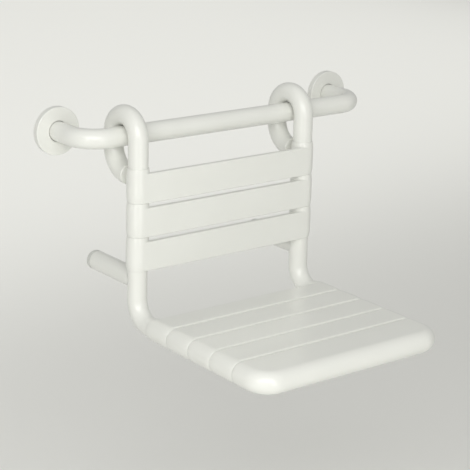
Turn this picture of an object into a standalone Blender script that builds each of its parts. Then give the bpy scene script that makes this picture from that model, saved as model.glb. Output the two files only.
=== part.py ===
"""Hanging shower seat on its wall grab rail.

The seat has no legs. Two tube hooks ride on a grab rail, and two short struts
rest against the wall. X runs along the wall, +Y points into the wall and +Z is
up. The origin is on the wall plane, half-way between the two wall plates, at
the height of the rail's axis. Units are metres.
"""
import math

import bmesh
import bpy
from mathutils import Matrix, Vector

# Tubes: a polyamide sleeve drawn over a steel core.
TUBE_RADIUS = 0.0165
TUBE_BORE = 0.0134
CORE_RADIUS = 0.0130
CORE_BORE = 0.0110
GAP = 0.0003
TUBE_SIDES = 16
CORE_SIDES = 8
TURNED_SIDES = 24
ARC_STEPS = 6

# Grab rail.
RAIL_SPAN = 0.575
RAIL_STANDOFF = 0.0925
RAIL_BEND = 0.042

# Wall plates, their covers and screws.
PLATE_RADIUS = 0.0330
PLATE_THICKNESS = 0.0050
SPIGOT_RADIUS = CORE_BORE - 2 * GAP
SPIGOT_LENGTH = 0.0120
COVER_RADIUS = 0.0400
COVER_DEPTH = 0.0110
COVER_WALL = 0.0025
COVER_ROUND = 0.0015
COVER_HOLE = TUBE_RADIUS + 0.0008
SCREW_CIRCLE = 0.0240
SCREW_COUNT = 3
SCREW_RADIUS = 0.0024
SCREW_HEAD = 0.0046
SCREW_LENGTH = 0.0240
SCREW_CLEARANCE = 0.0004

# Seat frame. Heights are measured from the rail's axis.
SEAT_CENTRE_X = -0.041
TUBE_SPACING = 0.342
HOOK_BEND = 0.0355
HOOK_PLAY = 0.0019
HOOK_TAIL_BEND = 0.0420
HOOK_TAIL_DROP = 0.0620
HOOK_MOUTH = 0.0085
LOWER_BEND = 0.0385
FRONT_BEND = 0.0255
CAP_THICKNESS = 0.0030
CAP_ROUND = 0.0016
CAP_SPIGOT = 0.0045
CUTTER_TURN = math.radians(5)
OVERRUN = 0.004
WELD = 0.000001

# Slats: a plate moulded with a sleeve at each end.
SLEEVE_RADIUS = 0.0190
SLEEVE_END_RADIUS = 0.0181
SLEEVE_BORE = TUBE_RADIUS + GAP
PLATE_SLAB = 0.0100
PLATE_FACE_INSET = 0.0001
PLATE_EDGE_ROUND = 0.0020
PLATE_CORNER_INSET = 0.0005
SLAT_PITCH = 0.0569
BACK_SLATS = ("back_slat_top", "back_slat_middle", "back_slat_bottom")
BACK_TOP_DROP = 0.0522
BACK_SLOT = 0.0076
SEAM = 0.0008
SEAT_SLATS = ("seat_slat_rear", "seat_slat_second", "seat_slat_third", "seat_slat_fourth")
SEAT_TOP_DROP = 0.2846
SEAT_SLAT_START = 0.0493
SEAT_GROOVE = 0.0034
SEAT_FRONT_AXIS = 0.3345

# Wall struts.
STRUT_DROP = 0.2325
STUD_RADIUS = 0.0060
STUD_CLEARANCE = 0.0004
STUD_END_DEPTH = 0.0300
BUFFER_THICKNESS = 0.0100
BUFFER_ROUND = 0.0045

# Positions that follow from the sizes above.
RAIL_Y = -RAIL_STANDOFF
PLAY_SHIFT = HOOK_PLAY * math.sqrt(0.5)
UPRIGHT_Y = RAIL_Y - PLAY_SHIFT - HOOK_BEND
HOOK_BACK_Y = UPRIGHT_Y + 2 * HOOK_BEND
HOOK_TOP_Z = HOOK_BEND - PLAY_SHIFT
HOOK_END_Y = UPRIGHT_Y + TUBE_RADIUS + HOOK_MOUTH
SIDE_Z = -SEAT_TOP_DROP - SLEEVE_RADIUS
FRONT_Y = UPRIGHT_Y - SEAT_FRONT_AXIS
SEAT_START_Y = UPRIGHT_Y - SEAT_SLAT_START
FRONT_PIECE_Y = SEAT_START_Y - len(SEAT_SLATS) * SLAT_PITCH
SIDE_TUBE_END_Y = FRONT_PIECE_Y - 0.020
HALF_SPACING = TUBE_SPACING / 2
PLATE_FRONT_Y = -PLATE_THICKNESS

PART = bpy.data.collections.new("shower_seat")
GUIDES = bpy.data.collections.new("shower_seat_cutters")


def clear_scene():
    """Remove the objects that Blender starts with and link the collections."""
    for obj in list(bpy.data.objects):
        bpy.data.objects.remove(obj)
    bpy.context.scene.collection.children.link(PART)
    bpy.context.scene.collection.children.link(GUIDES)


def make_material(name, colour, roughness, metallic):
    """A Principled material with one colour."""
    material = bpy.data.materials.new(name)
    material.use_nodes = True
    shader = material.node_tree.nodes["Principled BSDF"]
    shader.inputs["Base Color"].default_value = (*colour, 1.0)
    shader.inputs["Roughness"].default_value = roughness
    shader.inputs["Metallic"].default_value = metallic
    return material


def add_object(name, mesh, material=None, parent=None, guide=False):
    """Link an object; a parented one keeps its place in the world."""
    obj = bpy.data.objects.new(name, mesh)
    (GUIDES if guide else PART).objects.link(obj)
    if guide:
        obj.hide_render = True
        obj.display_type = "WIRE"
    if material is not None:
        mesh.materials.clear()
        mesh.materials.append(material)
    if parent is not None:
        obj.parent = parent
        obj.matrix_parent_inverse = Matrix.Translation(parent.location).inverted()
    mesh.shade_smooth()
    mesh.set_sharp_from_angle(angle=math.radians(35))
    return obj


def evaluated_mesh(obj, name):
    """The object's mesh as its modifiers leave it, welded, in world space."""
    bpy.context.view_layer.update()
    graph = bpy.context.evaluated_depsgraph_get()
    mesh = bpy.data.meshes.new_from_object(obj.evaluated_get(graph))
    mesh.transform(obj.matrix_world)
    mesh.name = name
    body = bmesh.new()
    body.from_mesh(mesh)
    bmesh.ops.remove_doubles(body, verts=body.verts, dist=WELD)
    body.to_mesh(mesh)
    body.free()
    return mesh


def rounded_path(corners, radii, steps=ARC_STEPS):
    """Points along straight runs whose inner corners are arcs."""
    corners = [Vector(corner) for corner in corners]
    points = [corners[0]]
    for index, radius in enumerate(radii, start=1):
        corner = corners[index]
        back = (corners[index - 1] - corner).normalized()
        ahead = (corners[index + 1] - corner).normalized()
        half_angle = back.angle(ahead) / 2
        centre = corner + (back + ahead).normalized() * radius / math.sin(half_angle)
        start = corner + back * radius / math.tan(half_angle)
        turning = ahead.cross(back).normalized()
        for step in range(steps + 1):
            turn = (math.pi - 2 * half_angle) * step / steps
            points.append(centre + Matrix.Rotation(turn, 3, turning) @ (start - centre))
    points.append(corners[-1])
    kept = [points[0]]
    for point in points[1:]:
        if (point - kept[-1]).length > 0.0005:
            kept.append(point)
    return kept


def lengthened(points, distance):
    """The same path, run on by a distance at both ends."""
    first = points[0] + (points[0] - points[1]).normalized() * distance
    last = points[-1] + (points[-1] - points[-2]).normalized() * distance
    return [first] + points[1:-1] + [last]


def swept_mesh(name, points, radius, sides):
    """A capped tube of one radius along the points."""
    curve = bpy.data.curves.new(name + "_curve", "CURVE")
    curve.dimensions = "3D"
    curve.bevel_depth = radius
    curve.bevel_resolution = (sides - 4) // 2
    curve.use_fill_caps = True
    spline = curve.splines.new("POLY")
    spline.points.add(len(points) - 1)
    for target, point in zip(spline.points, points):
        target.co = (*point, 1.0)
    obj = bpy.data.objects.new(name + "_curve", curve)
    GUIDES.objects.link(obj)
    mesh = evaluated_mesh(obj, name)
    bpy.data.objects.remove(obj)
    bpy.data.curves.remove(curve)
    return mesh


def turned_mesh(name, profile, sides, axis="Z"):
    """A profile of (radius, height) pairs, top to bottom outside, turned about an axis."""
    mesh = bpy.data.meshes.new(name + "_profile")
    closed = profile[0][0] > 0
    count = len(profile)
    edges = [(i, i + 1) for i in range(count - 1)]
    if closed:
        edges.append((count - 1, 0))
    mesh.from_pydata([(r, 0.0, z) for r, z in profile], edges, [])
    obj = bpy.data.objects.new(name + "_profile", mesh)
    GUIDES.objects.link(obj)
    screw = obj.modifiers.new("turn", "SCREW")
    screw.steps = sides
    screw.render_steps = sides
    screw.use_merge_vertices = True
    screw.merge_threshold = 0.00001
    if axis == "Y":
        obj.rotation_euler = (math.radians(-90), 0.0, 0.0)
    result = evaluated_mesh(obj, name)
    bpy.data.objects.remove(obj)
    return result


def cylinder_mesh(name, radius, length, sides, centre=(0.0, 0.0, 0.0), axis="Z", turn=0.0):
    """A plain cylinder; its flats stand at the given radius."""
    body = bmesh.new()
    outer = radius / math.cos(math.pi / sides)
    bmesh.ops.create_cone(body, cap_ends=True, segments=sides, radius1=outer, radius2=outer, depth=length)
    bmesh.ops.rotate(body, verts=body.verts, matrix=Matrix.Rotation(turn, 3, "Z"))
    if axis == "Y":
        bmesh.ops.rotate(body, verts=body.verts, matrix=Matrix.Rotation(math.radians(90), 3, "X"))
    bmesh.ops.translate(body, verts=body.verts, vec=centre)
    mesh = bpy.data.meshes.new(name)
    body.to_mesh(mesh)
    body.free()
    return mesh


def box_mesh(name, low, high, edge_round=0.0):
    """A box between two corners, with its edges rounded off."""
    body = bmesh.new()
    bmesh.ops.create_cube(body, size=1.0)
    size = Vector(high) - Vector(low)
    bmesh.ops.scale(body, verts=body.verts, vec=size)
    bmesh.ops.translate(body, verts=body.verts, vec=(Vector(low) + Vector(high)) / 2)
    if edge_round > 0:
        bmesh.ops.bevel(body, geom=body.edges, offset=edge_round, segments=1, affect="EDGES")
    mesh = bpy.data.meshes.new(name)
    body.to_mesh(mesh)
    body.free()
    return mesh


def slab_mesh(name, outline, thickness):
    """A flat slab: the outline at its top, run down by the thickness."""
    body = bmesh.new()
    face = body.faces.new([body.verts.new(point) for point in outline])
    lower = bmesh.ops.extrude_face_region(body, geom=[face], use_keep_orig=True)["geom"]
    moved = [item for item in lower if isinstance(item, bmesh.types.BMVert)]
    bmesh.ops.translate(body, verts=moved, vec=(0.0, 0.0, -thickness))
    bmesh.ops.recalc_face_normals(body, faces=body.faces)
    mesh = bpy.data.meshes.new(name)
    body.to_mesh(mesh)
    body.free()
    return mesh


def boolean(obj, mesh, operation):
    """Join a mesh to the object or cut it away, with an exact Boolean."""
    guide = add_object(f"{obj.name}_{operation.lower()}_{len(obj.modifiers)}", mesh, guide=True)
    guide.matrix_world = obj.matrix_world.copy()
    modifier = obj.modifiers.new(operation.lower(), "BOOLEAN")
    modifier.operation = operation
    modifier.solver = "EXACT"
    modifier.object = guide


def hollow_tube(name, points, outer, bore, sides, material, parent=None):
    """A tube along a path, bored right through."""
    tube = add_object(name, swept_mesh(name, points, outer, sides), material, parent)
    bore_radius = bore / math.cos(math.pi / CORE_SIDES)
    cutter = swept_mesh(name + "_bore", lengthened(points, OVERRUN), bore_radius, CORE_SIDES)
    boolean(tube, cutter, "DIFFERENCE")
    return tube


def build_rail(polyamide, steel):
    """The grab rail: its tube and the steel core that carries the load."""
    half = RAIL_SPAN / 2
    end_y = PLATE_FRONT_Y - GAP
    corners = [(-half, end_y, 0), (-half, RAIL_Y, 0), (half, RAIL_Y, 0), (half, end_y, 0)]
    path = rounded_path(corners, [RAIL_BEND, RAIL_BEND])
    hollow_tube("rail_tube", path, TUBE_RADIUS, TUBE_BORE, TUBE_SIDES, polyamide)
    hollow_tube("rail_core", path, CORE_RADIUS, CORE_BORE, CORE_SIDES, steel)


def screw_places():
    """The screws' positions round a wall plate, the first at the top."""
    turns = [math.radians(90 + 360 * index / SCREW_COUNT) for index in range(SCREW_COUNT)]
    return [(SCREW_CIRCLE * math.cos(turn), SCREW_CIRCLE * math.sin(turn)) for turn in turns]


def countersunk(head, shank, length, name):
    """A countersunk screw's body along Y, its head's face at y = 0, its point at +Y."""
    cone = head - shank
    profile = [(0.0, length), (shank, length - shank), (shank, cone), (head, 0.0), (0.0, 0.0)]
    return turned_mesh(name, profile, 12, axis="Y")


def build_wall_fixing(side, x, polyamide, steel):
    """One end of the rail: plate, screws and snap-on cover."""
    profile = [
        (0.0, PLATE_THICKNESS + SPIGOT_LENGTH),
        (SPIGOT_RADIUS, PLATE_THICKNESS + SPIGOT_LENGTH),
        (SPIGOT_RADIUS, PLATE_THICKNESS),
        (PLATE_RADIUS, PLATE_THICKNESS),
        (PLATE_RADIUS, 0.0),
        (0.0, 0.0),
    ]
    mesh = turned_mesh(f"wall_plate_{side}", profile, TURNED_SIDES, axis="Y")
    mesh.transform(Matrix.Scale(-1, 4, (0, 1, 0)))
    mesh.flip_normals()
    plate = add_object(f"wall_plate_{side}", mesh, steel)
    plate.location = (x, 0.0, 0.0)
    bpy.context.view_layer.update()
    for index, (dx, dz) in enumerate(screw_places()):
        cutter = countersunk(SCREW_HEAD + SCREW_CLEARANCE, SCREW_RADIUS + SCREW_CLEARANCE, 0.012, "hole")
        cutter.transform(Matrix.Rotation(CUTTER_TURN, 4, "Y"))
        cutter.transform(Matrix.Translation((dx, PLATE_FRONT_Y - 0.00005, dz)))
        boolean(plate, cutter, "DIFFERENCE")
        screw_mesh = countersunk(SCREW_HEAD, SCREW_RADIUS, SCREW_LENGTH, f"wall_screw_{side}_{index + 1}")
        screw = add_object(f"wall_screw_{side}_{index + 1}", screw_mesh, steel)
        screw.location = (x + dx, PLATE_FRONT_Y, dz)
    rounding = [math.radians(90 - 30 * step) for step in range(4)]
    inner = COVER_RADIUS - COVER_WALL
    profile = [(COVER_HOLE, COVER_DEPTH)]
    profile += [
        (COVER_RADIUS - COVER_ROUND + COVER_ROUND * math.cos(turn),
         COVER_DEPTH - COVER_ROUND + COVER_ROUND * math.sin(turn))
        for turn in rounding
    ]
    profile += [(COVER_RADIUS, 0.0), (inner, 0.0), (inner, COVER_DEPTH - COVER_WALL),
                (COVER_HOLE, COVER_DEPTH - COVER_WALL)]
    mesh = turned_mesh(f"rail_cover_{side}", profile, TURNED_SIDES, axis="Y")
    mesh.transform(Matrix.Scale(-1, 4, (0, 1, 0)))
    mesh.flip_normals()
    cover = add_object(f"rail_cover_{side}", mesh, polyamide)
    cover.location = (x, 0.0, 0.0)


def side_corners(x):
    """Corners and bend radii of one side tube, from the hook's end to the seat's front."""
    corners = [
        (x, HOOK_END_Y + CAP_THICKNESS + GAP, -HOOK_TAIL_DROP),
        (x, HOOK_BACK_Y, -HOOK_TAIL_DROP),
        (x, HOOK_BACK_Y, HOOK_TOP_Z),
        (x, UPRIGHT_Y, HOOK_TOP_Z),
        (x, UPRIGHT_Y, SIDE_Z),
    ]
    return corners, [HOOK_TAIL_BEND, HOOK_BEND, HOOK_BEND, LOWER_BEND]


def strut_hole(x):
    """A drill for the strut's stud, through the back wall of the side tube."""
    start = UPRIGHT_Y + CORE_BORE
    end = UPRIGHT_Y + TUBE_RADIUS + OVERRUN
    centre = (x, (start + end) / 2, -STRUT_DROP)
    return cylinder_mesh("stud_hole", STUD_RADIUS + STUD_CLEARANCE, end - start, 12, centre, "Y", CUTTER_TURN)


def build_frame(parent, polyamide, steel):
    """Two side tubes with their hooks, and the one bent core inside them."""
    whole_path = []
    for side, x in (("left", SEAT_CENTRE_X - HALF_SPACING), ("right", SEAT_CENTRE_X + HALF_SPACING)):
        corners, radii = side_corners(x)
        path = rounded_path(corners + [(x, SIDE_TUBE_END_Y, SIDE_Z)], radii)
        tube = hollow_tube(f"side_tube_{side}", path, TUBE_RADIUS, TUBE_BORE, TUBE_SIDES, polyamide, parent)
        boolean(tube, strut_hole(x), "DIFFERENCE")
        build_hook_cap(side, x, parent, polyamide)
        core_run = rounded_path(corners + [(x, FRONT_Y, SIDE_Z), (SEAT_CENTRE_X, FRONT_Y, SIDE_Z)],
                                radii + [FRONT_BEND])
        whole_path += core_run[:-1] if side == "left" else core_run[-2::-1]
    hollow_tube("frame_core", whole_path, CORE_RADIUS, CORE_BORE, CORE_SIDES, steel, parent)


def build_hook_cap(side, x, parent, polyamide):
    """The plug that closes the hook's end."""
    profile = [
        (0.0, CAP_THICKNESS + CAP_SPIGOT),
        (SPIGOT_RADIUS, CAP_THICKNESS + CAP_SPIGOT),
        (SPIGOT_RADIUS, CAP_THICKNESS),
        (TUBE_RADIUS, CAP_THICKNESS),
        (TUBE_RADIUS, CAP_ROUND),
        (TUBE_RADIUS - CAP_ROUND * 0.3, CAP_ROUND * 0.3),
        (TUBE_RADIUS - CAP_ROUND, 0.0),
        (0.0, 0.0),
    ]
    cap = add_object(f"hook_cap_{side}", turned_mesh(f"hook_cap_{side}", profile, TUBE_SIDES, axis="Y"),
                     polyamide, parent)
    cap.location = (x, HOOK_END_Y, -HOOK_TAIL_DROP)


def sleeve_mesh(length):
    """One slat sleeve along Z, centred, a little fuller at its middle than at its ends."""
    half = length / 2
    stations = (1.0, 0.86, 0.0, -0.86, -1.0)
    fall = SLEEVE_RADIUS - SLEEVE_END_RADIUS
    profile = [(0.0, half)]
    profile += [(SLEEVE_RADIUS - fall * abs(t) ** 6, half * t) for t in stations]
    profile += [(0.0, -half)]
    mesh = turned_mesh("sleeve", profile, TUBE_SIDES)
    mesh.transform(Matrix.Rotation(math.pi / TUBE_SIDES, 4, "Z"))
    return mesh


def slat_mesh(name, low_inset, high_inset):
    """A slat standing on edge: plate facing -Y, sleeves along Z, bored for the side tubes.

    The slat fills one pitch from z = 0 upwards. The insets set the plate's edges
    back from the two ends of the pitch.
    """
    sleeve_length = SLAT_PITCH - SEAM
    face = -SLEEVE_RADIUS + PLATE_FACE_INSET
    low = (-HALF_SPACING, face, low_inset)
    high = (HALF_SPACING, face + PLATE_SLAB, SLAT_PITCH - high_inset)
    slat = add_object(name + "_blank", box_mesh(name, low, high, PLATE_EDGE_ROUND), guide=True)
    for x in (-HALF_SPACING, HALF_SPACING):
        sleeve = sleeve_mesh(sleeve_length)
        sleeve.transform(Matrix.Translation((x, 0.0, SLAT_PITCH / 2)))
        boolean(slat, sleeve, "UNION")
    for x in (-HALF_SPACING, HALF_SPACING):
        bore = cylinder_mesh("bore", SLEEVE_BORE, SLAT_PITCH * 2, TUBE_SIDES, (x, 0.0, SLAT_PITCH / 2))
        boolean(slat, bore, "DIFFERENCE")
    mesh = evaluated_mesh(slat, name)
    for modifier in list(slat.modifiers):
        bpy.data.objects.remove(modifier.object)
    bpy.data.objects.remove(slat)
    return mesh


def build_back(parent, polyamide):
    """Three identical back slats, their sleeves butted and their plates apart."""
    mesh = slat_mesh("back_slat", 0.0, BACK_SLOT)
    for index, name in enumerate(BACK_SLATS):
        slat = add_object(name, mesh, polyamide, parent)
        height = -BACK_TOP_DROP + BACK_SLOT - (index + 1) * SLAT_PITCH
        slat.location = (SEAT_CENTRE_X, UPRIGHT_Y, height)


def build_seat(parent, polyamide):
    """Four seat slats lying flat, the rear one set back at its rear edge, and the front piece."""
    lie_flat = Matrix.Rotation(math.radians(-90), 4, "X")
    rear_mesh = slat_mesh("seat_slat_rear", SEAT_GROOVE / 2, BACK_SLOT)
    rear_mesh.transform(lie_flat)
    mesh = slat_mesh("seat_slat", SEAT_GROOVE / 2, SEAT_GROOVE / 2)
    mesh.transform(lie_flat)
    for index, name in enumerate(SEAT_SLATS):
        slat = add_object(name, rear_mesh if index == 0 else mesh, polyamide, parent)
        slat.location = (SEAT_CENTRE_X, SEAT_START_Y - (index + 1) * SLAT_PITCH, SIDE_Z)
    build_seat_front(parent, polyamide)


def build_seat_front(parent, polyamide):
    """The front piece: a bullnose with rounded corners round the core, filled in by a plate."""
    left = SEAT_CENTRE_X - HALF_SPACING
    right = SEAT_CENTRE_X + HALF_SPACING
    back_y = FRONT_PIECE_Y - SEAM / 2
    corners = [(left, back_y, SIDE_Z), (left, FRONT_Y, SIDE_Z),
               (right, FRONT_Y, SIDE_Z), (right, back_y, SIDE_Z)]
    path = rounded_path(corners, [FRONT_BEND, FRONT_BEND])
    nose_mesh = swept_mesh("seat_front", path, SLEEVE_RADIUS, TUBE_SIDES)
    nose = add_object("seat_front", nose_mesh, polyamide, parent)
    top = SIDE_Z + SLEEVE_RADIUS - PLATE_FACE_INSET
    plate_outline = rounded_path([(left, FRONT_PIECE_Y - SEAT_GROOVE / 2, top), (left, FRONT_Y, top),
                                  (right, FRONT_Y, top), (right, FRONT_PIECE_Y - SEAT_GROOVE / 2, top)],
                                 [FRONT_BEND - PLATE_CORNER_INSET] * 2)
    boolean(nose, slab_mesh("front_plate", plate_outline, PLATE_SLAB), "UNION")
    channel_radius = TUBE_BORE / math.cos(math.pi / CORE_SIDES)
    boolean(nose, swept_mesh("channel", lengthened(path, OVERRUN), channel_radius, CORE_SIDES), "DIFFERENCE")
    socket_end = SIDE_TUBE_END_Y - GAP
    length = back_y - socket_end
    for x in (left, right):
        centre = (x, socket_end + length, SIDE_Z)
        socket = cylinder_mesh("socket", SLEEVE_BORE, length * 2, TUBE_SIDES, centre, axis="Y")
        boolean(nose, socket, "DIFFERENCE")


def build_struts(parent, polyamide, steel, rubber):
    """Two struts that hold the seat off the wall, each on a stud, with a rubber foot."""
    saddle = TUBE_RADIUS + GAP
    buffer_face_y = -BUFFER_THICKNESS - GAP
    for side, x in (("left", SEAT_CENTRE_X - HALF_SPACING), ("right", SEAT_CENTRE_X + HALF_SPACING)):
        length = buffer_face_y - UPRIGHT_Y
        centre = (x, UPRIGHT_Y + length / 2, -STRUT_DROP)
        flats = TUBE_RADIUS * math.cos(math.pi / TUBE_SIDES)
        blank = cylinder_mesh(f"strut_{side}", flats, length, TUBE_SIDES, centre, axis="Y")
        strut = add_object(f"strut_{side}", blank, polyamide, parent)
        boolean(strut, cylinder_mesh("saddle", saddle, 0.08, 24, (x, UPRIGHT_Y, -STRUT_DROP)), "DIFFERENCE")
        stud_start = UPRIGHT_Y + CORE_RADIUS + GAP
        stud_end = -BUFFER_THICKNESS - STUD_END_DEPTH
        stud_centre = (x, (stud_start + stud_end) / 2, -STRUT_DROP)
        bore_end = stud_end + GAP
        bore_centre = (x, (UPRIGHT_Y + bore_end) / 2, -STRUT_DROP)
        boolean(strut, cylinder_mesh("stud_bore", STUD_RADIUS + STUD_CLEARANCE, bore_end - UPRIGHT_Y, 12,
                                     bore_centre, axis="Y"), "DIFFERENCE")
        add_object(f"strut_stud_{side}", cylinder_mesh(f"strut_stud_{side}", STUD_RADIUS,
                                                       stud_end - stud_start, 12, stud_centre, axis="Y"),
                   steel, parent)
        build_buffer(side, x, strut, parent, rubber)


def build_buffer(side, x, strut, parent, rubber):
    """The rubber foot: a rounded disc with a peg in the strut's end."""
    peg = 0.0050
    peg_length = 0.0120
    profile = [(0.0, BUFFER_THICKNESS + peg_length), (peg, BUFFER_THICKNESS + peg_length),
               (peg, BUFFER_THICKNESS), (TUBE_RADIUS, BUFFER_THICKNESS)]
    for step in range(4):
        turn = math.radians(-30 * step)
        profile.append((TUBE_RADIUS - BUFFER_ROUND + BUFFER_ROUND * math.cos(turn),
                        BUFFER_ROUND + BUFFER_ROUND * math.sin(turn)))
    profile.append((0.0, 0.0))
    mesh = turned_mesh(f"strut_buffer_{side}", profile, TUBE_SIDES, axis="Y")
    mesh.transform(Matrix.Scale(-1, 4, (0, 1, 0)))
    mesh.flip_normals()
    buffer = add_object(f"strut_buffer_{side}", mesh, rubber, parent)
    buffer.location = (x, 0.0, -STRUT_DROP)
    centre = (x, -BUFFER_THICKNESS - peg_length / 2, -STRUT_DROP)
    peg_hole = cylinder_mesh("peg_hole", peg + GAP, peg_length + 0.001, 12, centre, axis="Y")
    boolean(strut, peg_hole, "DIFFERENCE")


def main():
    """Build the rail on its root, then the seat under its hinge on the rail's axis."""
    clear_scene()
    polyamide = make_material("white_polyamide", (0.80, 0.81, 0.78), 0.28, 0.0)
    steel = make_material("galvanised_steel", (0.52, 0.53, 0.54), 0.45, 1.0)
    rubber = make_material("buffer_rubber", (0.62, 0.63, 0.60), 0.70, 0.0)
    build_rail(polyamide, steel)
    build_wall_fixing("left", -RAIL_SPAN / 2, polyamide, steel)
    build_wall_fixing("right", RAIL_SPAN / 2, polyamide, steel)
    hinge = bpy.data.objects.new("seat_hinge", None)
    PART.objects.link(hinge)
    hinge.location = (0.0, RAIL_Y, 0.0)
    build_frame(hinge, polyamide, steel)
    build_back(hinge, polyamide)
    build_seat(hinge, polyamide)
    build_struts(hinge, polyamide, steel, rubber)


main()
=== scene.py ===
"""Looks of a hanging shower seat on its wall grab rail.

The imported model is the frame: positions are read from its nodes' boxes, and
every piece made here stands for one or more of them. X runs along the wall, +Y
points into the wall and +Z is up. Lengths are metres.
"""
from __future__ import annotations

import logging
import math
from dataclasses import dataclass
from enum import Enum

import bmesh
import bpy
from mathutils import Matrix, Vector


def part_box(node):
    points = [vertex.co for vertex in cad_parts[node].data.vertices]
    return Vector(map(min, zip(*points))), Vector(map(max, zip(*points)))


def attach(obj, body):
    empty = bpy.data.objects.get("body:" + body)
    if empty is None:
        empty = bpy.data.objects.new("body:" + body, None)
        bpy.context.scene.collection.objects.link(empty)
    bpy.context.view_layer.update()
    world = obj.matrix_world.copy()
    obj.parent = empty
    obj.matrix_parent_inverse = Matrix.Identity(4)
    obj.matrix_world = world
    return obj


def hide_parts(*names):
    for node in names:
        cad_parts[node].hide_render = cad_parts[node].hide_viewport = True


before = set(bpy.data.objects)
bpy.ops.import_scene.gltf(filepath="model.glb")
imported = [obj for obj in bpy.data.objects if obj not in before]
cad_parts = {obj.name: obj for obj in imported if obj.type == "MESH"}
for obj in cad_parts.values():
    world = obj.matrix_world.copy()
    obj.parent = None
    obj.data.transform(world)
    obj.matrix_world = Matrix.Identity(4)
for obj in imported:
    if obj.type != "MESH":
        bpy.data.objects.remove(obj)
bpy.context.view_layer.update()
LOG = logging.getLogger("shower_seat")

Mesh = bpy.types.Mesh
Object = bpy.types.Object
Material = bpy.types.Material
Socket = bpy.types.NodeSocket
Inputs = dict[str | int, object]
Point = tuple[float, float, float]
Size = tuple[float, float]
Profile = list[tuple[float, float]]
Colour = tuple[float, float, float]

UNION, DIFFERENCE = "UNION", "DIFFERENCE"
EPSILON = 1e-6
SHARP_ANGLE = math.radians(32)
HOLE_SIDES = 40
TO_ROOM = Matrix.Rotation(math.radians(90), 4, "X")
TO_WALL = Matrix.Rotation(math.radians(-90), 4, "X")


class Body(Enum):
    """The two bodies that the hinge on the rail's axis joins."""

    RAIL = "wall_rail"
    SEAT = "seat"


class Side(Enum):
    """The two ends of the rail and the two sides of the seat."""

    LEFT = "left"
    RIGHT = "right"


class Slot(Enum):
    """The record's material slots."""

    POLYAMIDE = "polyamide"
    STEEL = "steel"
    SCREW_STEEL = "screw_steel"
    RUBBER = "rubber"


# ---------------------------------------------------------------- finishes


class NodeTree:
    """A node tree in the making."""

    def __init__(self, tree: bpy.types.NodeTree) -> None:
        """Take up a tree."""
        self.tree = tree

    def add(self, kind: str, inputs: Inputs, **settings: object) -> bpy.types.Node:
        """Add a node.

        Args:
            kind: The node's type.
            inputs: Sockets or values for its inputs.
            **settings: Its properties.

        Returns:
            The node.
        """
        node = self.tree.nodes.new(kind)
        for key, value in settings.items():
            setattr(node, key, value)
        self.set(node, inputs)
        return node

    def set(self, node: bpy.types.Node, inputs: Inputs) -> None:
        """Link or fill a node's inputs.

        Args:
            node: The node.
            inputs: Sockets or values for its inputs.
        """
        for key, value in inputs.items():
            if isinstance(value, Socket):
                self.tree.links.new(value, node.inputs[key])
            else:
                node.inputs[key].default_value = value


class Shader(NodeTree):
    """A material in the making, with a Principled shader and object coordinates."""

    pattern_range = (0.3, 0.7)

    def __init__(self, name: str) -> None:
        """Start the material.

        Args:
            name: Its name.
        """
        self.material = bpy.data.materials.new(name)
        self.material.use_nodes = True
        super().__init__(self.material.node_tree)
        self.surface = self.tree.nodes["Principled BSDF"]
        self.place = self.add("ShaderNodeTexCoord", {}).outputs["Object"]

    def noise(self, scale: float, detail: float, stretch: Point = (1.0, 1.0, 1.0)) -> Socket:
        """Noise over the piece.

        Args:
            scale: Its number of waves in a metre.
            detail: Its number of finer layers.
            stretch: A factor on the scale along each axis.

        Returns:
            The socket that gives the noise.
        """
        place = self.add("ShaderNodeMapping", {"Vector": self.place, "Scale": stretch}).outputs["Vector"]
        inputs = {"Vector": place, "Scale": scale, "Detail": detail}
        return self.add("ShaderNodeTexNoise", inputs).outputs["Fac"]

    def spread(self, source: Socket, low: float, high: float) -> Socket:
        """Map a pattern's middle range to two values.

        Args:
            source: The pattern.
            low: The value at its low end.
            high: The value at its high end.

        Returns:
            The socket that gives the mapped value.
        """
        bottom, top = self.pattern_range
        inputs = {"Value": source, "From Min": bottom, "From Max": top, "To Min": low, "To Max": high}
        return self.add("ShaderNodeMapRange", inputs).outputs["Result"]

    def tint(self, source: Socket, low: Colour, high: Colour) -> Socket:
        """Mix two colours by a pattern.

        Args:
            source: The pattern, from 0 to 1.
            low: The colour at 0.
            high: The colour at 1.

        Returns:
            The socket that gives the colour.
        """
        mix = self.add("ShaderNodeMix", {}, data_type="RGBA")
        colours = [socket for socket in mix.inputs if socket.type == "RGBA"]
        colours[0].default_value = (*low, 1.0)
        colours[1].default_value = (*high, 1.0)
        self.tree.links.new(source, mix.inputs[0])
        return next(socket for socket in mix.outputs if socket.type == "RGBA")

    def bump(self, height: Socket, depth: float, strength: float,
             under: Socket | None = None) -> Socket:
        """Raise the surface by a pattern.

        Args:
            height: The pattern.
            depth: How high it stands, in metres.
            strength: How much of it shows.
            under: The bump that it goes on top of.

        Returns:
            The socket that gives the normal.
        """
        inputs = {"Height": height, "Distance": depth, "Strength": strength}
        if under is not None:
            inputs["Normal"] = under
        return self.add("ShaderNodeBump", inputs).outputs["Normal"]


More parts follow.
